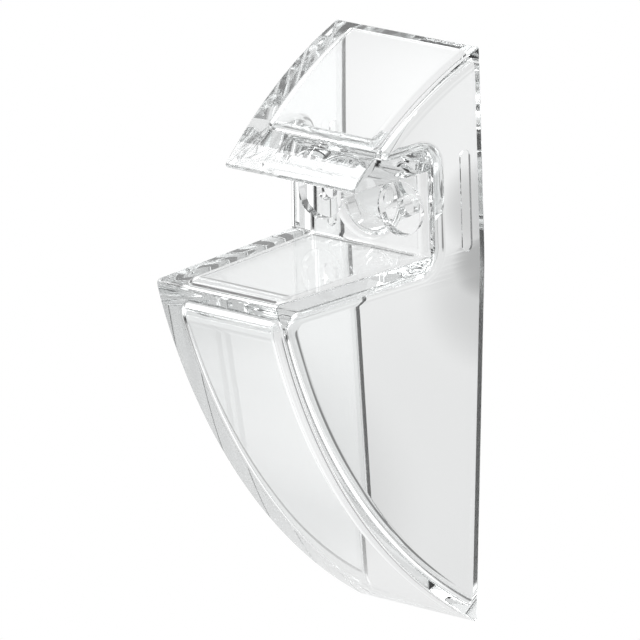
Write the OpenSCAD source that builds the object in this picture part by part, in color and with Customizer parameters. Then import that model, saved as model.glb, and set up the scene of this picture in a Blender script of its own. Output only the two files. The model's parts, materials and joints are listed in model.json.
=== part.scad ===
// Clear plastic shelf bracket, moulded in one piece.
// A board slides into the slot between a short upper jaw and a long lower jaw.
// The jaws are hollow shells, open on the side that goes against the wall.
// Frame: X across the bracket, -Y out of the wall, +Z up. The origin is on the wall
// plane, on the axis of the spacer boss, level with the middle of the board.

/* [Board slot] */
// Height of the slot that the board slides into
slot_h = 18.4; // [16.2:0.1:19.4]
// Distance from the wall to the back face of the slot
slot_back = 16.8; // [15.5:0.1:18]

/* [Jaws] */
// Height of the upper jaw above the slot, at the wall
upper_h = 23.5; // [22:0.5:27]
// Depth of the lower jaw below the slot, at the wall
lower_h = 85.1; // [78:0.5:95]
// Reach of the upper jaw from the wall
upper_reach = 39.9; // [37:0.1:43]
// Reach of the lower jaw from the wall
lower_reach = 62.9; // [58:0.1:68]
// Radius of the curved face of the upper jaw
upper_curve_r = 98.5; // [90:0.5:120]
// Radius of the curved face of the lower jaw
lower_curve_r = 143; // [130:1:170]
// Rounding of the front edge of the lower jaw
lower_edge_r = 1.0; // [0.5:0.1:1.5]
// Rounding of the tip of the upper jaw
upper_edge_r = 0.6; // [0.4:0.1:0.8]

/* [Width and taper] */
// Width at the wall, level with the slot
wall_w = 40.1; // [38:0.1:44]
// Lean of each side face towards the front
front_lean = 3.2; // [2.5:0.1:3.5]
// Lean of each side face towards the bottom
bottom_lean = 2.85; // [2:0.05:3.2]
// Lean of each side face towards the top
top_lean = 0.7; // [0.3:0.1:1.2]

/* [Walls] */
// Thickness of the side walls
side_t = 2.8; // [2.4:0.1:3.2]
// Thickness of the curved front skins
skin_t = 2.9; // [2.5:0.1:3.4]
// Thickness of the plates above and below the slot
plate_t = 3.6; // [3:0.1:4.4]
// Thickness of the wall at the back of the slot
back_t = 4.0; // [3.6:0.1:5]
// Radius of the fillets inside the hollows
fillet_r = 2.6; // [1.5:0.1:3]
// Radius of the corners between the back wall of the slot and its plates
turn_r = 4.2; // [3:0.1:5]

/* [Fixing] */
// Distance between the two screw holes
screw_pitch = 22; // [21:0.5:23]
// Diameter of the screw holes
screw_d = 4.6; // [4:0.1:5]
// Diameter of the recess for a screw's head
head_d = 11.6; // [9:0.1:12]
// Depth of the recess for a screw's head
head_depth = 1.9; // [1:0.1:2.2]
// Outer diameter of the spacer boss at its free end
boss_d = 13.2; // [12:0.1:14]
// Diameter of the socket in the spacer boss
socket_d = 7.6; // [6:0.1:8]
// Depth of the socket in the spacer boss
socket_depth = 10.3; // [8:0.1:10.5]
// Radius of the fillet round the foot of the spacer boss
boss_fillet_r = 2.4; // [1.5:0.1:2.6]
// Height of the upright groove in each side wall
groove_h = 22; // [18:0.5:24]
// Width of the upright groove in each side wall
groove_w = 3; // [2:0.1:3.2]
// Depth of the upright groove in each side wall
groove_depth = 0.5; // [0.3:0.1:0.8]

/* [Hidden] */

arc_fn = 360;                       // sides of the two large arcs
hole_fn = 64;                       // sides of the holes, the boss and small roundings
pocket_steps = 24;                  // points along each arc inside a hollow
fillet_steps = 5;                   // slices in each fillet inside a hollow
big = 300;                          // larger than the bracket
over = 6;                           // how far cuts run past the wall plane

floor_z = -slot_h / 2;              // top of the lower jaw
ceil_z = slot_h / 2;                // underside of the upper jaw
top_z = ceil_z + upper_h;
bottom_z = floor_z - lower_h;
knee_z = floor_z - plate_t;         // below this height the side faces lean in
hollow_back = slot_back - back_t;   // depth of the hollow behind the slot
corner_r = 1.15 * fillet_r;         // radius of a hollow's corners in the side view
groove_y = -3.9;                    // middle of the upright grooves, off the wall
boss_draft = 0.4;                   // how much wider in radius the boss is at its foot

// Slopes of the right side face: change of x for each millimetre of y or z
front_slope = tan(front_lean);
bottom_slope = tan(bottom_lean);
top_slope = tan(top_lean);

// Centre of a circle of radius r through the points p and q, on the left of p to q
function arc_centre(p, q, r) =
    let (m = (p + q) / 2, d = q - p, half = norm(d) / 2, h = sqrt(r * r - half * half))
    m + [-d[1], d[0]] / (2 * half) * h;

// Profiles are drawn with the distance from the wall along x and the height along y
lower_c = arc_centre([0, bottom_z], [lower_reach, floor_z], lower_curve_r);
upper_c = arc_centre([upper_reach, ceil_z], [0, top_z], upper_curve_r);

// Centre of a rounding of radius r between a circle (centre c, radius big_r) and the
// level line y = level; side is -1 where the material lies below the line, 1 above it
function rounding_centre(c, big_r, level, r, side) =
    let (y = level + side * r)
    [c[0] + sqrt(pow(big_r - r, 2) - pow(y - c[1], 2)), y];

// Material outside a rounding, to be cut from the sharp corner at the point corner
module corner_waste(c, big_c, corner, r, side) {
    away = (c - big_c) / norm(c - big_c);
    across = [0, -side];
    difference() {
        polygon([c, c + across * (r + 0.3), corner + (away + across) * 0.3, c + away * (r + 0.3)]);
        translate(c) circle(r = r, $fn = hole_fn);
    }
}

// Side view of the lower jaw, with its front edge rounded
module lower_profile() {
    c = rounding_centre(lower_c, lower_curve_r, floor_z, lower_edge_r, -1);
    difference() {
        intersection() {
            translate(lower_c) circle(r = lower_curve_r, $fn = arc_fn);
            translate([0, bottom_z - 1]) square([big, lower_h + 1]);
        }
        corner_waste(c, lower_c, [lower_reach, floor_z], lower_edge_r, -1);
    }
}

// Side view of the upper jaw, with its tip rounded
module upper_profile() {
    c = rounding_centre(upper_c, upper_curve_r, ceil_z, upper_edge_r, 1);
    difference() {
        intersection() {
            translate(upper_c) circle(r = upper_curve_r, $fn = arc_fn);
            translate([0, ceil_z]) square([big, upper_h + 1]);
        }
        corner_waste(c, upper_c, [upper_reach, ceil_z], upper_edge_r, 1);
    }
}

// Side view of the whole bracket, solid
module outline() {
    lower_profile();
    upper_profile();
    translate([0, floor_z - 1]) square([slot_back, slot_h + 2]);
}

// Stand a profile upright, so that it runs out of the wall and spans w in X
module upright(w) {
    translate([w / 2, 0, 0]) rotate([90, 0, -90]) linear_extrude(height = w) children();
}

// Everything beyond one sloping side face that passes through x = half at y = 0, z = level
module beyond_side(half, level, z_slope) {
    // The face leans by front_lean about Z, then by the matching angle about its own level line
    lean_z = atan(z_slope * cos(front_lean));
    translate([half, 0, level])
        rotate([0, 0, -front_lean])
        rotate([0, lean_z, 0])
        translate([0, -big / 2, -big / 2])
        cube([big, big, big]);
}

// The bracket without its hollows
module solid_form() {
    difference() {
        upright(wall_w + 2) outline();
        for (side = [0, 1]) mirror([side, 0, 0]) {
            beyond_side(wall_w / 2, knee_z, bottom_slope);
            beyond_side(wall_w / 2, knee_z, -top_slope);
        }
    }
}

// Points of an arc with centre c and radius r, from angle a0 to angle a1
function arc_points(c, r, a0, a1, n) =
    [for (i = [0 : n]) let (a = a0 + (a1 - a0) * i / n) c + r * [cos(a), sin(a)]];

// Side view of a jaw's hollow, set in by inset from the plate and the skin: a level plate,
// a curved skin (centre c, inner radius skin_r) and a fillet between them. side is -1 for
// the lower jaw and 1 for the upper.
function jaw_hollow(c, skin_r, level, side, inset) =
    let (turn = rounding_centre(c, skin_r, level, corner_r, side),
         a0 = atan2(turn[1] - c[1], turn[0] - c[0]),
         a1 = side * acos((-over - c[0]) / (skin_r - inset)),
         step = (a1 - a0) / pocket_steps)
    concat([[-over, level + side * inset]],
           arc_points(turn, corner_r - inset, -side * 90, a0, fillet_steps),
           arc_points(c, skin_r - inset, a0 + step, a1, pocket_steps - 1));

// Side view of the hollow behind the slot from low to high, set in by inset from the back wall
function back_hollow(low, high, inset) =
    let (y = hollow_back - inset)
    [[-over, low], [y, low], [y, high], [-over, high]];

// A convex outline stood upright in the plane that lies half from the middle on one side
// at y = 0, z = knee_z, and leans with the side faces
function leaning(outline, side, half, z_slope) =
    [for (p = outline) [side * (half - front_slope * p[0] + z_slope * (p[1] - knee_z)), -p[0], p[1]]];

// Closed surface through rings of the same number of points. The rings are convex, and the
// points run clockwise as seen from the last ring towards the first.
module loft(rings) {
    n = len(rings[0]);
    m = len(rings) - 1;
    walls = [for (k = [0 : m - 1], j = [0 : n - 1])
        let (a = k * n + j, b = k * n + (j + 1) % n) each [[a, b, a + n], [b, b + n, a + n]]];
    caps = [for (j = [1 : n - 2]) each [[0, j + 1, j], [m * n, m * n + j, m * n + j + 1]]];
    polyhedron(points = [for (ring = rings) each ring], faces = concat(walls, caps));
}

// Insets of the slices of a hollow from its left end to its right end, each with the side
// it is on and its distance in from the end
function slices() = concat(
    [for (i = [0 : fillet_steps]) let (a = 90 * (1 - i / fillet_steps))
        [-1, fillet_r * (1 - sin(a)), fillet_r * (1 - cos(a))]],
    [for (i = [0 : fillet_steps]) let (a = 90 * i / fillet_steps)
        [1, fillet_r * (1 - sin(a)), fillet_r * (1 - cos(a))]]);

function reversed(list) = [for (i = [len(list) - 1 : -1 : 0]) list[i]];

// Distance from the middle to the inner face of a side wall, at y = 0, z = knee_z
inner_half = wall_w / 2 - side_t;

module lower_hollow() {
    loft([for (s = slices()) leaning(
        reversed(jaw_hollow(lower_c, lower_curve_r - skin_t, floor_z - plate_t, -1, s[2])),
        s[0], inner_half - s[1], bottom_slope)]);
}

module upper_hollow() {
    loft([for (s = slices()) leaning(
        jaw_hollow(upper_c, upper_curve_r - skin_t, ceil_z + plate_t, 1, s[2]),
        s[0], inner_half - s[1], -top_slope)]);
}

// The hollow behind the slot, which runs into both jaws past their fillets
module middle_hollow() {
    reach = 3 * fillet_r;
    loft([for (s = slices()) leaning(
        back_hollow(knee_z, ceil_z + plate_t + reach, s[2]), s[0], inner_half - s[1], -top_slope)]);
    loft([for (s = slices()) leaning(
        back_hollow(knee_z - reach, knee_z + 0.01, s[2]), s[0], inner_half - s[1], bottom_slope)]);
}

// Rounds a corner of the liner round the slot, on the side of the hollows
module turn_waste(level, side) {
    w = wall_w - 2 * (side_t + fillet_r);
    upright(w)
        difference() {
            translate([hollow_back - 1, min(level - side * turn_r, level + side)])
                square([turn_r + 1, turn_r + 1]);
            translate([hollow_back + turn_r, level - side * turn_r]) circle(r = turn_r, $fn = hole_fn);
        }
}

// Tapered spacer boss with a fillet round its foot
module spacer_boss() {
    foot_r = boss_d / 2 + boss_draft;
    root = [foot_r + boss_fillet_r, hollow_back - boss_fillet_r];
    rotate([90, 0, 0])
        rotate_extrude($fn = hole_fn)
        polygon(concat([[0, 0], [boss_d / 2, 0]],
                       arc_points(root, boss_fillet_r, 180, 90, fillet_steps),
                       [[root[0], hollow_back + 1], [0, hollow_back + 1]]));
}

// Screw hole with a round recess for the head, through the slot's back wall
module screw_hole() {
    rotate([90, 0, 0]) {
        translate([0, 0, hollow_back - 1]) cylinder(d = screw_d, h = back_t + 2, $fn = hole_fn);
        translate([0, 0, slot_back - head_depth]) cylinder(d = head_d, h = head_depth + 1, $fn = hole_fn);
    }
}

// Upright groove with round ends in the inner face of the right side wall
module groove() {
    end = (groove_h - groove_w) / 2;
    inner_x = wall_w / 2 - side_t + front_slope * groove_y - top_slope * (0 - knee_z);
    translate([inner_x - 1, groove_y, 0]) rotate([0, 90, 0]) {
        for (s = [-1, 1]) translate([s * end, 0, 0]) cylinder(d = groove_w, h = 1 + groove_depth, $fn = 32);
        translate([-end, -groove_w / 2, 0]) cube([2 * end, groove_w, 1 + groove_depth]);
    }
}

module bracket_body() {
    color([0.90, 0.93, 0.93, 0.45])
    difference() {
        union() {
            difference() {
                solid_form();
                lower_hollow();
                upper_hollow();
                middle_hollow();
                turn_waste(floor_z - plate_t, -1);
                turn_waste(ceil_z + plate_t, 1);
            }
            spacer_boss();
        }
        rotate([90, 0, 0]) translate([0, 0, -1]) cylinder(d = socket_d, h = socket_depth + 1, $fn = hole_fn);
        for (x = [-1, 1]) translate([x * screw_pitch / 2, 0, 0]) screw_hole();
        for (side = [0, 1]) mirror([side, 0, 0]) groove();
    }
}

bracket_body();
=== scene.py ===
"""Clear plastic shelf bracket, dressed for rendering: one moulding in clear polystyrene on a pale stage.

The side view of the bracket is an outline of arcs. The outer form and the hollow are each a loft of
that outline across X, and a node tree cuts the hollow, the screw holes and the grooves and adds the boss.
"""

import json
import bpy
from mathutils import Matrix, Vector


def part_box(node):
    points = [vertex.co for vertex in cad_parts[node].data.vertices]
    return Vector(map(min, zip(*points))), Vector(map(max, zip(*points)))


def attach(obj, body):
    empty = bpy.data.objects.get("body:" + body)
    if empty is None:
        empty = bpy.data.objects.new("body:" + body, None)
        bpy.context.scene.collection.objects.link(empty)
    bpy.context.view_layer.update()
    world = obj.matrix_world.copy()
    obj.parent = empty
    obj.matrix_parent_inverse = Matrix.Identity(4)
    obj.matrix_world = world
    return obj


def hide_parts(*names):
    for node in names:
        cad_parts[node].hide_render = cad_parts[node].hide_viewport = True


bl_info = {
    "name": "Clear Shelf Bracket",
    "version": (1, 0, 0),
    "blender": (4, 5, 0),
    "location": "View3D > Sidebar > Shelf Bracket",
    "description": "Builds a clear moulded shelf bracket and a pale stage around it",
    "category": "Add Mesh",
}

from math import acos, atan2, cos, hypot, pi, radians, sin, sqrt, tan

import bmesh
import bpy
from bpy.props import FloatProperty, FloatVectorProperty, PointerProperty
from mathutils import Matrix, Vector

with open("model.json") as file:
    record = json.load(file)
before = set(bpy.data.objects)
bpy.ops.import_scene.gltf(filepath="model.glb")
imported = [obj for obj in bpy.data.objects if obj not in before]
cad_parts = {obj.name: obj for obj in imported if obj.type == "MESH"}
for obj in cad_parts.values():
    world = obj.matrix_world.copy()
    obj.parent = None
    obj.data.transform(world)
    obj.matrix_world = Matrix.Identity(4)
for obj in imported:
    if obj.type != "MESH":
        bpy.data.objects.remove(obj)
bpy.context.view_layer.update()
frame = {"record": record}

NODE = "bracket_body"
MM = 0.001
DEG = pi / 180
LOW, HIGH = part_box(NODE)

ARC_STEPS = 220         # faces along each long arc of the outer form
SMALL_STEPS = 6         # faces across a small rounding
ROUND_STEPS = 128       # faces round a hole or the boss
FILLET_STEPS = 10       # faces across the fillet at the foot of the boss
FILLET_STOP = 6 * DEG   # how far short of level that fillet ends, so that it sinks into the wall
KNEE_CUTS = 8           # cuts across the blend of the side faces' two leans
SHARPEST = 0.02 * MM    # smallest radius that an outside rounding shrinks to
HOLLOW_OVER = 6 * MM    # how far the hollow runs out past the wall
SCREW_OVER = 3 * MM     # how far a screw hole's tool starts behind the back wall
GROOVE_TOOL = 2 * MM    # length of the tool that cuts a groove
END_ROUNDING = 0.4999   # radius of a groove's ends as a share of its width: just short of meeting
WELD = 0.001 * MM       # distance at which the points of the groove tool are one
SPLIT = 0.0001 * MM     # distance within which a point lies on a cutting plane
CLEAN = 0.002 * MM      # distance at which points left by the cuts are one
SHARP = 28 * DEG        # angle past which an edge is shaded sharp
RIM_DEPTH = 0.05 * MM   # faces this close to the wall plane are the rim

SENSOR = 36.0           # width of the camera's sensor, in millimetres
FRAME_PIXELS = 640      # width of the frame that the camera's target is given in
FAR = 20                # distance that the camera sees to, in metres
FLOOR_SIDES = 96        # sides of the round floor
PLASTIC_BOUNCES = 48    # reflections followed inside the plastic


def mount(name):
    """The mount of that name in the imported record."""
    return next(item for item in frame["record"]["mounts"] if item["name"] == name)


SCREWS = mount("screw_holes")["dims"]
HEADS = mount("head_seats")["dims"]
SOCKET = mount("wall_socket")["dims"]
FLOOR_Z = mount("board_seat")["pos_m"][2]


def hex_colour(code):
    """An sRGB hex colour as linear red, green and blue."""
    parts = [int(code[i:i + 2], 16) / 255 for i in (0, 2, 4)]
    return tuple(p / 12.92 if p <= 0.04045 else ((p + 0.055) / 1.055) ** 2.4 for p in parts)


def length(name, text, value):
    """A property for a length in metres."""
    return FloatProperty(name=name, description=text, default=value, unit="LENGTH")


def angle(name, text, value):
    """A property for an angle, given in degrees."""
    return FloatProperty(name=name, description=text, default=radians(value), unit="ROTATION")


def place(name, text, value):
    """A property for a place in metres."""
    return FloatVectorProperty(name=name, description=text, default=value, unit="LENGTH", size=3)


def colour(name, text, code):
    """A property for a colour, given as an sRGB hex code."""
    value = hex_colour(code)
    return FloatVectorProperty(name=name, description=text, default=value, subtype="COLOR", size=3)


def number(name, text, value, unit="NONE"):
    """A property for any other number."""
    return FloatProperty(name=name, description=text, default=value, unit=unit)


class BracketSizes(bpy.types.PropertyGroup):
    """Sizes of the moulding, in metres."""
    slot_back: length("Slot back", "Distance from the wall to the back face of the slot", 16.8 * MM)
    slot_corner: length("Slot corner", "Rounding of the inside corners of the slot", 0.5 * MM)
    upper_reach: length("Upper reach", "Reach of the upper jaw before its tip is rounded", 39.9 * MM)
    lower_reach: length("Lower reach", "Reach of the lower jaw before its edge is rounded", 62.9 * MM)
    upper_curve: length("Upper curve", "Radius of the curved face of the upper jaw", 98.5 * MM)
    lower_curve: length("Lower curve", "Radius of the curved face of the lower jaw", 143 * MM)
    upper_edge: length("Upper edge", "Rounding of the tip of the upper jaw", 0.6 * MM)
    lower_edge: length("Lower edge", "Rounding of the front edge of the lower jaw", 1.0 * MM)
    rear_edge: length("Rear edge", "Rounding of the top and bottom corners at the wall", 0.4 * MM)
    side_edge: length("Side edge", "Rounding of the long edges of the side faces", 0.4 * MM)
    front_lean: angle("Front lean", "Lean of each side face towards the front", 3.2)
    bottom_lean: angle("Bottom lean", "Lean of each side face towards the bottom", 2.85)
    top_lean: angle("Top lean", "Lean of each side face towards the top", 0.7)
    knee_blend: length("Knee blend", "Height over which the two leans run into each other", 8 * MM)
    side_wall: length("Side wall", "Thickness of the side walls", 2.8 * MM)
    lower_skin: length("Lower skin", "Thickness of the curved face of the lower jaw", 2.9 * MM)
    upper_skin: length("Upper skin", "Thickness of the curved face of the upper jaw", 2.7 * MM)
    lower_plate: length("Lower plate", "Thickness of the plate below the slot", 3.6 * MM)
    upper_plate: length("Upper plate", "Thickness of the plate above the slot", 3.9 * MM)
    back_wall: length("Back wall", "Thickness of the wall at the back of the slot", 4.0 * MM)
    side_fillet: length("Side fillet", "Radius where the side walls meet the rest, inside", 2.6 * MM)
    lower_fillet: length("Lower fillet", "Radius where the lower plate meets its skin, inside", 4.2 * MM)
    upper_fillet: length("Upper fillet", "Radius where the upper plate meets its skin, inside", 1.8 * MM)
    turn: length("Turn", "Radius of the corners behind the slot, inside", 4.2 * MM)


class FixingSizes(bpy.types.PropertyGroup):
    """Sizes of the screw holes, the boss and the grooves, in metres."""
    screw_pitch: length("Screw pitch", "Distance between the two screw holes", SCREWS["spacing_x_mm"] * MM)
    screw_radius: length("Screw radius", "Radius of the screw holes", SCREWS["hole_r_mm"] * MM)
    head_radius: length("Head radius", "Radius of the recess for a screw's head", HEADS["hole_r_mm"] * MM)
    head_depth: length("Head depth", "Depth of the recess for a screw's head", 1.9 * MM)
    socket_radius: length("Socket radius", "Radius of the socket in the boss", SOCKET["r_mm"] * MM)
    socket_depth: length("Socket depth", "Depth of the socket in the boss", SOCKET["length_mm"] * MM)
    boss_radius: length("Boss radius", "Radius of the boss at the wall", 6.6 * MM)
    boss_draft: length("Boss draft", "How much wider the boss is at its foot", 0.4 * MM)
    boss_fillet: length("Boss fillet", "Radius of the fillet round the foot of the boss", 2.4 * MM)
    groove_height: length("Groove height", "Height of the upright groove in each side wall", 22 * MM)
    groove_width: length("Groove width", "Width of the upright groove in each side wall", 3 * MM)
    groove_depth: length("Groove depth", "Depth of the upright groove in each side wall", 0.5 * MM)
    groove_from_wall: length("Groove place", "Distance from the wall to the middle of a groove", 3.9 * MM)


class PlasticFinish(bpy.types.PropertyGroup):
    """Look of the clear plastic."""
    tint: colour("Tint", "Colour that light keeps as it passes a surface", "FDFEFE")
    ior: number("IOR", "Index of refraction of the plastic", 1.53)
    roughness: number("Roughness", "Roughness of the polished faces", 0.0)
    rim_roughness: number("Rim roughness", "Roughness of the rim that lies on the wall", 0.05)
    depth_tint: colour("Depth tint", "Colour that light turns to deep in the plastic", "003838")
    loss: number("Loss", "Share of the light lost in each metre of plastic", 5.0)


class StudioSettings(bpy.types.PropertyGroup):
    """Camera, floor and lights."""
    azimuth: angle("Azimuth", "Direction of the camera, from straight ahead towards the right", 40.404)
    elevation: angle("Elevation", "Height of the camera above level", 16.528)
    roll: angle("Roll", "Turn of the camera about its own axis", 1.173)
    distance: length("Distance", "Distance from the camera to the point it was set up on", 2.0245)
    target_height: length("Target height", "Height of that point above the bracket's bottom", 63.5 * MM)
    focal: number("Focal length", "Focal length in millimetres on a 36 mm sensor", 538.75, "CAMERA")
    target_x: number("Target x", "Where that point falls across the frame, of 640", 413.9)
    target_y: number("Target y", "Where that point falls down the frame, of 640", 322.8)
    floor_drop: length("Floor drop", "Height of the bracket above the floor", 0.15)
    floor_radius: length("Floor radius", "Radius of the floor", 1.4)
    background: colour("Background", "Colour of the floor and the room behind", "FFFFFF")
    floor_shade: colour("Floor shade", "Colour of the floor's lacquer where light falls on it", "E7E7E7")
    floor_roughness: number("Floor roughness", "Roughness of the floor's lacquer", 0.9)
    ambient_colour: colour("Ambient colour", "Colour of the light from all round", "FFFFFF")
    ambient: number("Ambient", "Strength of the light from all round", 0.7)
    lamp_place: place("Lamp place", "Where the soft lamp hangs", (-0.9, -0.6, 1.0))
    lamp_size: length("Lamp size", "Diameter of the soft lamp", 0.8)
    lamp_power: number("Lamp power", "Power of the soft lamp, in watts", 8, "POWER")


def settings():
    """The four groups of settings."""
    scene = bpy.context.scene
    return scene.bracket_sizes, scene.bracket_fixing, scene.bracket_finish, scene.bracket_studio


# Outlines are lists of (u, z), where u is the distance from the wall. Each outline can be drawn moved in
# by an inset: then its outside roundings shrink, down to SHARPEST, and its inside roundings grow.

def arc(centre, radius, start, end, steps):
    """Points along an arc, ends included."""
    turns = [start + (end - start) * i / steps for i in range(steps + 1)]
    return [(centre[0] + radius * cos(a), centre[1] + radius * sin(a)) for a in turns]


def circle_through(p, q, radius):
    """Centre of the circle through p and q that lies on the left of the way from p to q."""
    du, dz = q[0] - p[0], q[1] - p[1]
    half = hypot(du, dz) / 2
    rise = sqrt(radius ** 2 - half ** 2) / (2 * half)
    return (p[0] + q[0]) / 2 - dz * rise, (p[1] + q[1]) / 2 + du * rise


def level_rounding(centre, radius, level, r, side):
    """Centre of a rounding of radius r between a circle and a level line.

    The shape lies below the line for side -1 and above it for side 1."""
    z = level + side * r
    return centre[0] + sqrt((radius - r) ** 2 - (z - centre[1]) ** 2), z


def upright_rounding(centre, radius, upright, r, side):
    """Centre of a rounding of radius r between a circle and an upright line.

    It is at the bottom for side -1 and at the top for side 1."""
    u = upright + r
    return u, centre[1] + side * sqrt((radius - r) ** 2 - (u - centre[0]) ** 2)


def direction(centre, point):
    """Angle of the way from the centre to the point."""
    return atan2(point[1] - centre[1], point[0] - centre[0])


def curve_centres(sizes):
    """Centres of the lower and the upper curved face."""
    lower = circle_through((0, LOW.z), (sizes.lower_reach, FLOOR_Z), sizes.lower_curve)
    upper = circle_through((sizes.upper_reach, -FLOOR_Z), (0, HIGH.z), sizes.upper_curve)
    return lower, upper


def outer_outline(sizes, inset):
    """Side view of the whole bracket."""
    floor, ceiling = FLOOR_Z - inset, -FLOOR_Z + inset
    lower, upper = curve_centres(sizes)
    low_r, up_r = sizes.lower_curve - inset, sizes.upper_curve - inset
    rear, front_r, tip_r = [
        max(r - inset, SHARPEST) for r in (sizes.rear_edge, sizes.lower_edge, sizes.upper_edge)
    ]
    heel = upright_rounding(lower, low_r, inset, rear, -1)
    front = level_rounding(lower, low_r, floor, front_r, -1)
    tip = level_rounding(upper, up_r, ceiling, tip_r, 1)
    top = upright_rounding(upper, up_r, inset, rear, 1)
    low_a, low_b = direction(lower, heel), direction(lower, front)
    up_a, up_b = direction(upper, tip), direction(upper, top)
    slot_r = sizes.slot_corner + inset
    corner = sizes.slot_back + sizes.slot_corner
    return (
        arc(heel, rear, -pi, low_a, SMALL_STEPS)
        + arc(lower, low_r, low_a, low_b, ARC_STEPS)[1:-1]
        + arc(front, front_r, low_b, pi / 2, SMALL_STEPS)
        + arc((corner, floor + slot_r), slot_r, 1.5 * pi, pi, SMALL_STEPS)
        + arc((corner, ceiling - slot_r), slot_r, pi, pi / 2, SMALL_STEPS)
        + arc(tip, tip_r, -pi / 2, up_a, SMALL_STEPS)
        + arc(upper, up_r, up_a, up_b, ARC_STEPS // 2)[1:-1]
        + arc(top, rear, up_b, pi, SMALL_STEPS)
    )


def hollow_outline(sizes, inset):
    """Side view of the hollow, which runs out past the wall."""
    under, above = FLOOR_Z - sizes.lower_plate - inset, -FLOOR_Z + sizes.upper_plate + inset
    lower, upper = curve_centres(sizes)
    low_r = sizes.lower_curve - sizes.lower_skin - inset
    up_r = sizes.upper_curve - sizes.upper_skin - inset
    front_r, tip_r = [max(r - inset, SHARPEST) for r in (sizes.lower_fillet, sizes.upper_fillet)]
    front = level_rounding(lower, low_r, under, front_r, -1)
    tip = level_rounding(upper, up_r, above, tip_r, 1)
    low_a, low_b = -acos((-HOLLOW_OVER - lower[0]) / low_r), direction(lower, front)
    up_a, up_b = direction(upper, tip), acos((-HOLLOW_OVER - upper[0]) / up_r)
    turn_r = sizes.turn + inset
    corner = sizes.slot_back - sizes.back_wall + sizes.turn
    return (
        arc(lower, low_r, low_a, low_b, ARC_STEPS)[:-1]
        + arc(front, front_r, low_b, pi / 2, 2 * SMALL_STEPS)
        + arc((corner, under + turn_r), turn_r, 1.5 * pi, pi, 2 * SMALL_STEPS)
        + arc((corner, above - turn_r), turn_r, pi, pi / 2, 2 * SMALL_STEPS)
        + arc(tip, tip_r, -pi / 2, up_a, 2 * SMALL_STEPS)
        + arc(upper, up_r, up_a, up_b, ARC_STEPS // 2)[1:]
    )


def side_lean(sizes, u, z):
    """How far a side face is from its place at the wall, level with the knee. Negative is inwards."""
    knee = FLOOR_Z - sizes.lower_plate
    half = sizes.knee_blend / 2
    low, high = tan(sizes.bottom_lean), -tan(sizes.top_lean)
    t = z - knee
    if abs(t) < half:
        shift = low * t + (high - low) * (t + half) ** 2 / (4 * half)
    else:
        shift = (low if t < 0 else high) * t
    return shift - tan(sizes.front_lean) * u


def mesh_of(name, bm):
    """A mesh with its normals outward, made of the bmesh, which is then freed."""
    bmesh.ops.recalc_face_normals(bm, faces=bm.faces)
    mesh = bpy.data.meshes.new(name)
    bm.to_mesh(mesh)
    bm.free()
    return mesh


def loft(name, outline, sizes, half_width, edge, steps):
    """A closed mesh that sweeps the outline across X, with its two side edges rounded by edge."""
    rounding = [pi / 2 * i / steps for i in range(steps + 1)]
    slices = [(-1, a) for a in reversed(rounding)] + [(1, a) for a in rounding]
    bm = bmesh.new()
    rings = []
    for side, a in slices:
        x = side * (half_width - edge * (1 - sin(a)))
        rings.append([bm.verts.new((x, -u, z)) for u, z in outline(sizes, edge * (1 - cos(a)))])
    count = len(rings[0])
    for near, far in zip(rings, rings[1:]):
        for i in range(count):
            j = (i + 1) % count
            bm.faces.new((near[i], near[j], far[j], far[i]))
    bm.faces.new(rings[0])
    bm.faces.new(rings[-1])
    knee = FLOOR_Z - sizes.lower_plate
    for i in range(KNEE_CUTS + 1):
        z = knee + sizes.knee_blend * (i / KNEE_CUTS - 0.5)
        geometry = bm.verts[:] + bm.edges[:] + bm.faces[:]
        bmesh.ops.bisect_plane(bm, geom=geometry, plane_co=(0, 0, z), plane_no=(0, 0, 1), dist=SPLIT)
    for v in bm.verts:
        v.co.x += side_lean(sizes, -v.co.y, v.co.z) * (1 if v.co.x > 0 else -1)
    return mesh_of(name, bm)


def revolve(name, profile, steps):
    """A closed mesh of a profile of (radius, distance from the wall) turned round the Y axis."""
    bm = bmesh.new()
    rings = []
    for radius, u in profile:
        if radius == 0:
            rings.append([bm.verts.new((0, -u, 0))])
            continue
        turn = [2 * pi * i / steps for i in range(steps)]
        rings.append([bm.verts.new((radius * cos(a), -u, radius * sin(a))) for a in turn])
    for near, far in zip(rings, rings[1:]):
        for i in range(steps):
            j = (i + 1) % steps
            corners = [near[i % len(near)], near[j % len(near)], far[j % len(far)], far[i % len(far)]]
            bm.faces.new(list(dict.fromkeys(corners)))
    return mesh_of(name, bm)


def boss_profile(sizes, fixing):
    """Half section of the boss with its socket, as (radius, distance from the wall)."""
    back = sizes.slot_back - sizes.back_wall
    foot = fixing.boss_radius + fixing.boss_draft
    rim = sizes.rear_edge / 2
    root = (foot + fixing.boss_fillet, back - fixing.boss_fillet)
    fillet = [pi - (pi / 2 - FILLET_STOP) * i / FILLET_STEPS for i in range(FILLET_STEPS + 1)]
    flare = [
        (root[0] + fixing.boss_fillet * cos(a), root[1] + fixing.boss_fillet * sin(a)) for a in fillet
    ]
    return [
        (0, fixing.socket_depth),
        (fixing.socket_radius, fixing.socket_depth),
        (fixing.socket_radius, rim),
        (fixing.socket_radius + rim, 0),
        (fixing.boss_radius - rim, 0),
        (fixing.boss_radius, rim),
        *flare,
        (flare[-1][0], back + sizes.back_wall / 2),
        (0, back + sizes.back_wall / 2),
    ]


def screw_profile(sizes, fixing):
    """Half section of what a screw hole and the recess for its head take away."""
    rim = sizes.side_edge / 2
    seat = sizes.slot_back - fixing.head_depth
    start = sizes.slot_back - sizes.back_wall - SCREW_OVER
    return [
        (0, start),
        (fixing.screw_radius, start),
        (fixing.screw_radius, seat),
        (fixing.head_radius, seat),
        (fixing.head_radius, sizes.slot_back - rim),
        (fixing.head_radius + rim, sizes.slot_back),
        (fixing.head_radius + 2 * rim, sizes.slot_back + rim),
        (0, sizes.slot_back + rim),
    ]


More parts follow.
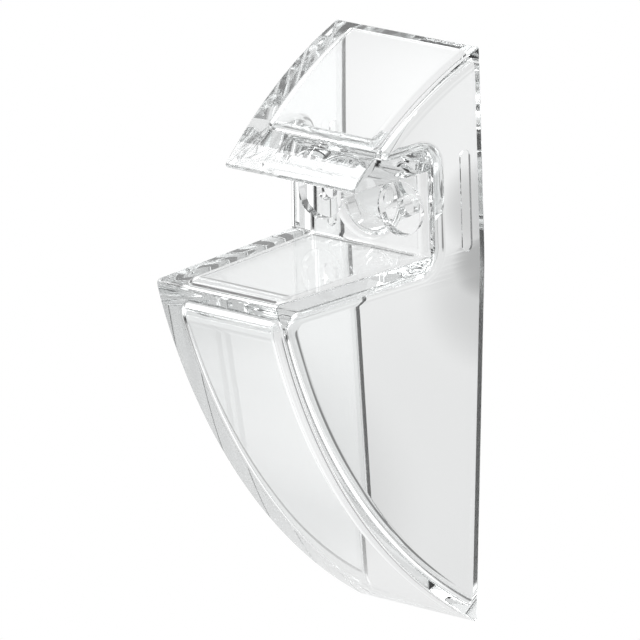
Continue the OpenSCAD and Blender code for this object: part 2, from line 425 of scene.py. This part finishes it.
def add(tree, kind, inputs=None, **options):
    """Adds a node with its settings, and links or sets its inputs by name or number.

    An input that takes several links gets a list."""
    made = tree.nodes.new(kind)
    for name, value in options.items():
        setattr(made, name, value)
    for socket, given in (inputs or {}).items():
        for value in given if isinstance(given, list) else [given]:
            if isinstance(value, bpy.types.NodeSocket):
                tree.links.new(value, made.inputs[socket])
            else:
                made.inputs[socket].default_value = value
    return made


TREE_INPUTS = {
    "Outer form": "NodeSocketGeometry",
    "Hollow": "NodeSocketObject",
    "Boss": "NodeSocketObject",
    "Screw cutter": "NodeSocketObject",
    "Screw pitch": "NodeSocketFloat",
    "Groove height": "NodeSocketFloat",
    "Groove width": "NodeSocketFloat",
    "Groove length": "NodeSocketFloat",
    "Groove from wall": "NodeSocketFloat",
    "Groove span": "NodeSocketFloat",
    "Groove lean": "NodeSocketVector",
    "Plastic": "NodeSocketMaterial",
}


def twice(tree, geometry, spacing, along, lean=(0, 0, 0)):
    """The geometry at two points, spaced along X, at a place along Y. The two lean towards each other."""
    half = add(tree, "ShaderNodeMath", {0: spacing, 1: -0.5}, operation="MULTIPLY").outputs[0]
    start = add(tree, "ShaderNodeCombineXYZ", {"X": half, "Y": along}).outputs[0]
    step = add(tree, "ShaderNodeCombineXYZ", {"X": spacing}).outputs[0]
    line = add(tree, "GeometryNodeMeshLine", {"Count": 2, "Start Location": start, "Offset": step})
    # 1 at the first point and -1 at the second
    index = add(tree, "GeometryNodeInputIndex").outputs[0]
    side = add(tree, "ShaderNodeMath", {0: index, 1: -2.0, 2: 1.0}, operation="MULTIPLY_ADD").outputs[0]
    turn = add(tree, "ShaderNodeVectorMath", {0: lean, "Scale": side}, operation="SCALE").outputs[0]
    points = add(tree, "GeometryNodeInstanceOnPoints",
                 {"Points": line.outputs[0], "Instance": geometry, "Rotation": turn})
    return add(tree, "GeometryNodeRealizeInstances", {0: points.outputs[0]}).outputs[0]


def moulding_tree():
    """Cuts the hollow, the screw holes and the grooves from the outer form and adds the boss."""
    tree = bpy.data.node_groups.new("Bracket moulding", "GeometryNodeTree")
    for name, kind in TREE_INPUTS.items():
        tree.interface.new_socket(name, in_out="INPUT", socket_type=kind)
    tree.interface.new_socket("Moulding", in_out="OUTPUT", socket_type="NodeSocketGeometry")
    given = add(tree, "NodeGroupInput").outputs
    hollow, boss, cutter = [
        add(tree, "GeometryNodeObjectInfo", {"Object": given[name]}).outputs["Geometry"]
        for name in ("Hollow", "Boss", "Screw cutter")
    ]
    screws = twice(tree, cutter, given["Screw pitch"], 0.0)

    # The groove tool: a strip with round ends, made solid and turned to face sideways
    sketch = add(tree, "GeometryNodeCurvePrimitiveQuadrilateral",
                 {"Width": given["Groove height"], "Height": given["Groove width"]})
    radius = add(tree, "ShaderNodeMath", {0: given["Groove width"], 1: END_ROUNDING}, operation="MULTIPLY")
    rounded = add(tree, "GeometryNodeFilletCurve",
                  {"Curve": sketch.outputs[0], "Radius": radius.outputs[0], "Count": 2 * SMALL_STEPS},
                  mode="POLY")
    face = add(tree, "GeometryNodeFillCurve", {"Curve": rounded.outputs[0]}, mode="NGONS")
    prism = add(tree, "GeometryNodeExtrudeMesh",
                {"Mesh": face.outputs[0], "Offset Scale": given["Groove length"], "Individual": False})
    lid = add(tree, "GeometryNodeFlipFaces", {"Mesh": face.outputs[0]})
    solid = add(tree, "GeometryNodeJoinGeometry", {"Geometry": [prism.outputs[0], lid.outputs[0]]})
    closed = add(tree, "GeometryNodeMergeByDistance", {"Geometry": solid.outputs[0], "Distance": WELD})
    middle = add(tree, "ShaderNodeMath", {0: given["Groove length"], 1: -0.5}, operation="MULTIPLY")
    centred = add(tree, "GeometryNodeTransform", {
        "Geometry": closed.outputs[0],
        "Translation": add(tree, "ShaderNodeCombineXYZ", {"Z": middle.outputs[0]}).outputs[0],
    })
    upright = add(tree, "GeometryNodeTransform",
                  {"Geometry": centred.outputs[0], "Rotation": (0, pi / 2, 0)})
    grooves = twice(tree, upright.outputs[0], given["Groove span"], given["Groove from wall"],
                    given["Groove lean"])

    shell = add(tree, "GeometryNodeMeshBoolean", {"Mesh 1": given["Outer form"], "Mesh 2": hollow},
                operation="DIFFERENCE", solver="EXACT")
    whole = add(tree, "GeometryNodeMeshBoolean", {"Mesh 2": [shell.outputs[0], boss]},
                operation="UNION", solver="EXACT")
    cuts = add(tree, "GeometryNodeJoinGeometry", {"Geometry": [screws, grooves]})
    drilled = add(tree, "GeometryNodeMeshBoolean", {"Mesh 1": whole.outputs[0], "Mesh 2": cuts.outputs[0]},
                  operation="DIFFERENCE", solver="EXACT")
    real = add(tree, "GeometryNodeRealizeInstances", {0: drilled.outputs[0]})
    painted = add(tree, "GeometryNodeSetMaterial",
                  {"Geometry": real.outputs[0], "Material": given["Plastic"]})
    add(tree, "NodeGroupOutput", {0: painted.outputs[0]})
    return tree


def set_inputs(modifier, values):
    """Sets a modifier's inputs, which are known by the identifier of their socket."""
    for item in modifier.node_group.interface.items_tree:
        if item.name in values:
            modifier[item.identifier] = values[item.name]


def link_object(name, data):
    """A new object in the scene with that mesh, lamp or camera."""
    made = bpy.data.objects.new(name, data)
    bpy.context.scene.collection.objects.link(made)
    return made


def baked(obj, name):
    """A plain mesh of the object with its modifiers applied."""
    bpy.context.view_layer.update()
    graph = bpy.context.evaluated_depsgraph_get()
    mesh = bpy.data.meshes.new_from_object(obj.evaluated_get(graph), depsgraph=graph)
    mesh.name = name
    return mesh


def shade(mesh):
    """Smooth faces, with sharp edges where two faces meet at more than a slight angle."""
    bm = bmesh.new()
    bm.from_mesh(mesh)
    bmesh.ops.remove_doubles(bm, verts=bm.verts, dist=CLEAN)
    bmesh.ops.dissolve_degenerate(bm, edges=bm.edges, dist=CLEAN)
    for face in bm.faces:
        face.smooth = True
    for edge in bm.edges:
        edge.smooth = edge.is_manifold and edge.calc_face_angle() < SHARP
    bm.to_mesh(mesh)
    bm.free()


def bare_material(name):
    """A material and its node tree, emptied."""
    material = bpy.data.materials.new(name)
    material.use_nodes = True
    material.node_tree.nodes.clear()
    return material, material.node_tree


def clear_plastic(finish):
    """Clear polystyrene, moulded in a polished tool: it looks like sharp, bright glass, faintly cool.

    The rim that lies on the wall is slightly frosted, which softens what shines through it."""
    material, tree = bare_material("Clear polystyrene")
    spot = add(tree, "ShaderNodeTexCoord").outputs["Object"]
    out = add(tree, "ShaderNodeSeparateXYZ", {0: spot}).outputs["Y"]
    rim = add(tree, "ShaderNodeMath", {0: out, 1: -RIM_DEPTH}, operation="GREATER_THAN").outputs[0]
    rough = add(tree, "ShaderNodeMix", {0: rim, 2: finish.roughness, 3: finish.rim_roughness}).outputs[0]
    surface = add(tree, "ShaderNodeBsdfPrincipled", {
        "Base Color": (*finish.tint, 1),
        "Roughness": rough,
        "IOR": finish.ior,
        "Transmission Weight": 1.0,
    })
    depth = add(tree, "ShaderNodeVolumeAbsorption",
                {"Color": (*finish.depth_tint, 1), "Density": finish.loss})
    add(tree, "ShaderNodeOutputMaterial", {"Surface": surface.outputs[0], "Volume": depth.outputs[0]})
    return material


# The room as clear plastic and gloss show it: patches of one brightness on the pale background.
# Each patch is (name, azimuth and elevation of its middle, half its width, width of its soft edge,
# brightness). Angles are in degrees, and later patches lie over earlier ones.
ROOM_BASE = 0.85
# Straight through the clear walls the room is never darker than this, except where the backdrop and its
# painted shade lie over it: only what they mirror shows it all
SEEN_THROUGH = 0.8
ROOM = (
    ("softbox on the left", -90, 30, 24, 20, 1.8),
    ("softbox overhead", -12, 50, 30, 24, 1.9),
    ("lit table in front", -5, -62, 30, 20, 1.7),
    ("dim room behind the camera", 50, 5, 38, 24, 0.15),
    ("dim room on the right", 110, -42, 36, 20, 0.2),
    ("dim strip on the right", 129, -20, 10, 4, 0.3),
    ("reflector on the right", 150, -20, 10, 4, 1.7),
    ("black flag on the left", -85, -18, 18, 14, 0.12),
    ("black flag in front", -43, -18, 22, 12, 0.02),
)
# Behind the bracket, laid over the room after its least brightness straight through is set, so that they
# show through the clear walls too: the backdrop, darker at its left side and foot, with dark edges and a
# soft painted shade on it
BACKDROP_AND_PAINTED_SHADE = (
    ("backdrop", -142, -16, 14, 10, 0.97),
    ("left side of the backdrop", -133, -13, 6, 3, 0.83),
    ("foot of the backdrop", -140, -26.5, 8, 5, 0.88),
    ("foot of the backdrop, left", -132, -24, 5.7, 3, 0.69),
    ("dark edge of the backdrop", -125.5, -20, 4, 2, 0.25),
    ("dark edge of the backdrop, lower", -126.5, -27.5, 4.2, 2, 0.25),
    ("dark edge of the backdrop, foot", -130.5, -35, 4.5, 2, 0.25),
    ("slope of the shade", -141.7, -18.2, 1.3, 1.6, 0.7),
    ("shade on the backdrop", -141.0, -16.2, 0.7, 0.7, 0.68),
    ("shade on the backdrop, lower", -141.1, -17.5, 0.45, 0.6, 0.48),
)


def way_to(azimuth, elevation):
    """Unit vector at an azimuth from straight ahead towards the right, and at an elevation."""
    return sin(azimuth) * cos(elevation), -cos(azimuth) * cos(elevation), sin(elevation)


def patched(tree, way, level, patches):
    """The level of brightness with patches laid over it, one after the other."""
    for _, azimuth, elevation, half, edge, brightness in patches:
        middle = way_to(radians(azimuth), radians(elevation))
        near = add(tree, "ShaderNodeVectorMath", {0: way, 1: middle}, operation="DOT_PRODUCT")
        share = add(tree, "ShaderNodeMapRange", {
            "Value": near.outputs["Value"],
            "From Min": cos(radians(half + edge / 2)),
            "From Max": cos(radians(half - edge / 2)),
        }, interpolation_type="SMOOTHSTEP").outputs[0]
        level = add(tree, "ShaderNodeMix", {0: share, 2: level, 3: brightness}).outputs[0]
    return level


def room_group():
    """Node group that gives the brightness of the room in a direction."""
    tree = bpy.data.node_groups.new("Room", "ShaderNodeTree")
    tree.interface.new_socket("Way", in_out="INPUT", socket_type="NodeSocketVector")
    tree.interface.new_socket("Dimmest", in_out="INPUT", socket_type="NodeSocketFloat")
    tree.interface.new_socket("Brightness", in_out="OUTPUT", socket_type="NodeSocketFloat")
    given = add(tree, "NodeGroupInput").outputs
    way = add(tree, "ShaderNodeVectorMath", {0: given["Way"]}, operation="NORMALIZE").outputs[0]
    around = patched(tree, way, ROOM_BASE, ROOM)
    level = add(tree, "ShaderNodeMath", {0: around, 1: given["Dimmest"]}, operation="MAXIMUM").outputs[0]
    # The backdrop and its painted shade lie over the rest, so the clear walls show them straight through
    add(tree, "NodeGroupOutput", {0: patched(tree, way, level, BACKDROP_AND_PAINTED_SHADE)})
    return tree


def room_seen(tree, room, way):
    """Brightness of the room for the ray in hand, and whether the ray sees the room at all.

    The camera sees plain white, the plastic sees the patches, and other rays only take light."""
    path = add(tree, "ShaderNodeLightPath").outputs
    camera, glossy, through = path["Is Camera Ray"], path["Is Glossy Ray"], path["Is Transmission Ray"]
    dimmest = add(tree, "ShaderNodeMix", {0: path["Glossy Depth"], 2: SEEN_THROUGH, 3: 0.0}).outputs[0]
    shown = add(tree, "ShaderNodeGroup", {"Way": way, "Dimmest": dimmest}, node_tree=room).outputs[0]
    level = add(tree, "ShaderNodeMix", {0: camera, 2: shown, 3: 1.0}).outputs[0]
    bounced = add(tree, "ShaderNodeMath", {0: glossy, 1: through}, operation="MAXIMUM").outputs[0]
    seen = add(tree, "ShaderNodeMath", {0: camera, 1: bounced}, operation="MAXIMUM").outputs[0]
    return level, seen


def floor_paint(studio, room):
    """White matt lacquer: to the camera it looks as white as the room behind it, and it keeps the light
    even.

    To rays off or through the plastic it glows instead with the room's painted light and painted shade.
    """
    material, tree = bare_material("Matt white lacquer, painted room light and shade")
    # Rays off or through the plastic see the floor glow with painted room light and shade: bright and dark
    # patches and the painted shade behind the bracket
    level, seen = room_seen(tree, room, add(tree, "ShaderNodeTexCoord").outputs["Object"])
    matt = add(tree, "ShaderNodeBsdfPrincipled",
               {"Base Color": (*studio.floor_shade, 1), "Roughness": studio.floor_roughness})
    white = add(tree, "ShaderNodeEmission", {"Color": (*studio.background, 1), "Strength": level})
    mixed = add(tree, "ShaderNodeMixShader", {0: seen, 1: matt.outputs[0], 2: white.outputs[0]})
    add(tree, "ShaderNodeOutputMaterial", {"Surface": mixed.outputs[0]})
    return material


def build_world(studio, room):
    """The pale room round the stage, as the world."""
    world = bpy.data.worlds.new("Pale room")
    bpy.context.scene.world = world
    world.use_nodes = True
    tree = world.node_tree
    tree.nodes.clear()
    level, seen = room_seen(tree, room, add(tree, "ShaderNodeTexCoord").outputs["Generated"])
    white = add(tree, "ShaderNodeBackground", {"Color": (*studio.background, 1), "Strength": level})
    light = add(tree, "ShaderNodeBackground",
                {"Color": (*studio.ambient_colour, 1), "Strength": studio.ambient})
    mixed = add(tree, "ShaderNodeMixShader", {0: seen, 1: light.outputs[0], 2: white.outputs[0]})
    add(tree, "ShaderNodeOutputWorld", {"Surface": mixed.outputs[0]})


class BRACKET_OT_add_body(bpy.types.Operator):
    """Add the clear moulded body of the bracket"""
    bl_idname = "bracket.add_body"
    bl_label = "Add Bracket Body"
    bl_options = {"REGISTER", "UNDO"}

    def execute(self, context):
        sizes, fixing, finish, _ = settings()
        wall_half = HIGH.x
        inner_half = wall_half - sizes.side_wall
        outer = link_object("outer_form", loft(
            "outer_form", outer_outline, sizes, wall_half, sizes.side_edge, SMALL_STEPS))
        hollow = link_object("hollow", loft(
            "hollow", hollow_outline, sizes, inner_half, sizes.side_fillet, 2 * SMALL_STEPS))
        boss = link_object("boss", revolve(
            "boss", boss_profile(sizes, fixing), ROUND_STEPS))
        cutter = link_object("screw_cutter", revolve(
            "screw_cutter", screw_profile(sizes, fixing), ROUND_STEPS))
        groove_floor = inner_half + side_lean(sizes, fixing.groove_from_wall, 0) + fixing.groove_depth
        modifier = outer.modifiers.new("Moulding", "NODES")
        modifier.node_group = moulding_tree()
        set_inputs(modifier, {
            "Hollow": hollow,
            "Boss": boss,
            "Screw cutter": cutter,
            "Screw pitch": fixing.screw_pitch,
            "Groove height": fixing.groove_height,
            "Groove width": fixing.groove_width,
            "Groove length": GROOVE_TOOL,
            "Groove from wall": -fixing.groove_from_wall,
            "Groove span": 2 * groove_floor - GROOVE_TOOL,
            "Groove lean": (0.0, sizes.top_lean, sizes.front_lean),
            "Plastic": clear_plastic(finish),
        })
        shell = baked(outer, "bracket_shell")
        for helper in (outer, hollow, boss, cutter):
            bpy.data.objects.remove(helper)
        shade(shell)
        body = link_object("bracket_shell", shell)
        weighted = body.modifiers.new("Weighted normals", "WEIGHTED_NORMAL")
        weighted.keep_sharp = True
        finished = baked(body, "bracket_shell")
        body.modifiers.clear()
        body.data = finished
        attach(body, "root")
        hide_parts(NODE)
        return {"FINISHED"}


def camera_matrix(studio):
    """Place and turn of the camera: it was set up on one point, which falls off the middle of the frame."""
    back = Vector(way_to(studio.azimuth, studio.elevation))
    right = Vector((cos(studio.azimuth), sin(studio.azimuth), 0))
    up = back.cross(right)
    turned_right = right * cos(studio.roll) - up * sin(studio.roll)
    turned_up = up * cos(studio.roll) + right * sin(studio.roll)
    target = Vector((0, 0, LOW.z + studio.target_height))
    axes = Matrix((turned_right, turned_up, back)).transposed()
    pixels = studio.focal / SENSOR * FRAME_PIXELS
    seen = Vector((studio.target_x - FRAME_PIXELS / 2, FRAME_PIXELS / 2 - studio.target_y, -pixels))
    pan = seen.rotation_difference(Vector((0, 0, -1))).to_matrix()
    return Matrix.Translation(target + back * studio.distance) @ (axes @ pan).to_4x4()


def add_lamp(studio):
    """The soft lamp, which faces the bracket."""
    data = bpy.data.lights.new("key", "AREA")
    data.shape = "DISK"
    data.size = studio.lamp_size
    data.energy = studio.lamp_power
    lamp = link_object("key", data)
    lamp.location = studio.lamp_place
    lamp.rotation_euler = (-Vector(studio.lamp_place)).to_track_quat("-Z", "Y").to_euler()


def add_floor(studio, room):
    """The round floor, below the bracket."""
    bm = bmesh.new()
    bmesh.ops.create_circle(bm, cap_ends=True, radius=studio.floor_radius, segments=FLOOR_SIDES)
    bmesh.ops.translate(bm, verts=bm.verts, vec=(0, 0, LOW.z - studio.floor_drop))
    mesh = bpy.data.meshes.new("floor")
    bm.to_mesh(mesh)
    bm.free()
    mesh.materials.append(floor_paint(studio, room))
    return link_object("floor", mesh)


def add_camera(studio):
    """The camera, with a long lens."""
    data = bpy.data.cameras.new("camera")
    data.lens = studio.focal
    data.sensor_width = SENSOR
    data.clip_end = FAR
    camera = link_object("camera", data)
    camera.matrix_world = camera_matrix(studio)
    return camera


class BRACKET_OT_add_stage(bpy.types.Operator):
    """Add the pale floor and room, the soft lights and the camera"""
    bl_idname = "bracket.add_stage"
    bl_label = "Add Stage"
    bl_options = {"REGISTER", "UNDO"}

    def execute(self, context):
        _, _, _, studio = settings()
        scene = context.scene
        room = room_group()
        floor = add_floor(studio, room)
        build_world(studio, room)
        add_lamp(studio)
        scene.camera = add_camera(studio)
        scene.view_settings.view_transform = "Standard"
        # Light runs along inside the walls of clear plastic, and each reflection there is a bounce
        for kind in ("max_bounces", "glossy_bounces", "transmission_bounces"):
            setattr(scene.cycles, kind, PLASTIC_BOUNCES)
        return {"FINISHED"}


class BRACKET_PT_panel(bpy.types.Panel):
    """Lists the settings and the operators that use them"""
    bl_label = "Shelf Bracket"
    bl_idname = "BRACKET_PT_panel"
    bl_space_type = "VIEW_3D"
    bl_region_type = "UI"
    bl_category = "Shelf Bracket"

    def draw(self, context):
        layout = self.layout
        for group, _, operator in GROUPS:
            box = layout.box()
            properties = getattr(context.scene, group)
            for name in properties.__annotations__:
                box.prop(properties, name)
            if operator:
                box.operator(operator)


# Each group of settings is (name in the scene, class, operator shown below it)
GROUPS = (
    ("bracket_sizes", BracketSizes, None),
    ("bracket_fixing", FixingSizes, None),
    ("bracket_finish", PlasticFinish, "bracket.add_body"),
    ("bracket_studio", StudioSettings, "bracket.add_stage"),
)
CLASSES = (
    *(group for _, group, _ in GROUPS),
    BRACKET_OT_add_body,
    BRACKET_OT_add_stage,
    BRACKET_PT_panel,
)


def register():
    """Add the settings, the operators and the panel to Blender."""
    for item in CLASSES:
        bpy.utils.register_class(item)
    for name, group, _ in GROUPS:
        setattr(bpy.types.Scene, name, PointerProperty(type=group))


def unregister():
    """Take them out again."""
    for name, _, _ in GROUPS:
        delattr(bpy.types.Scene, name)
    for item in reversed(CLASSES):
        bpy.utils.unregister_class(item)


def main():
    """Build the bracket and its stage."""
    register()
    bpy.ops.bracket.add_body()
    bpy.ops.bracket.add_stage()


if __name__ == "__main__":
    main()
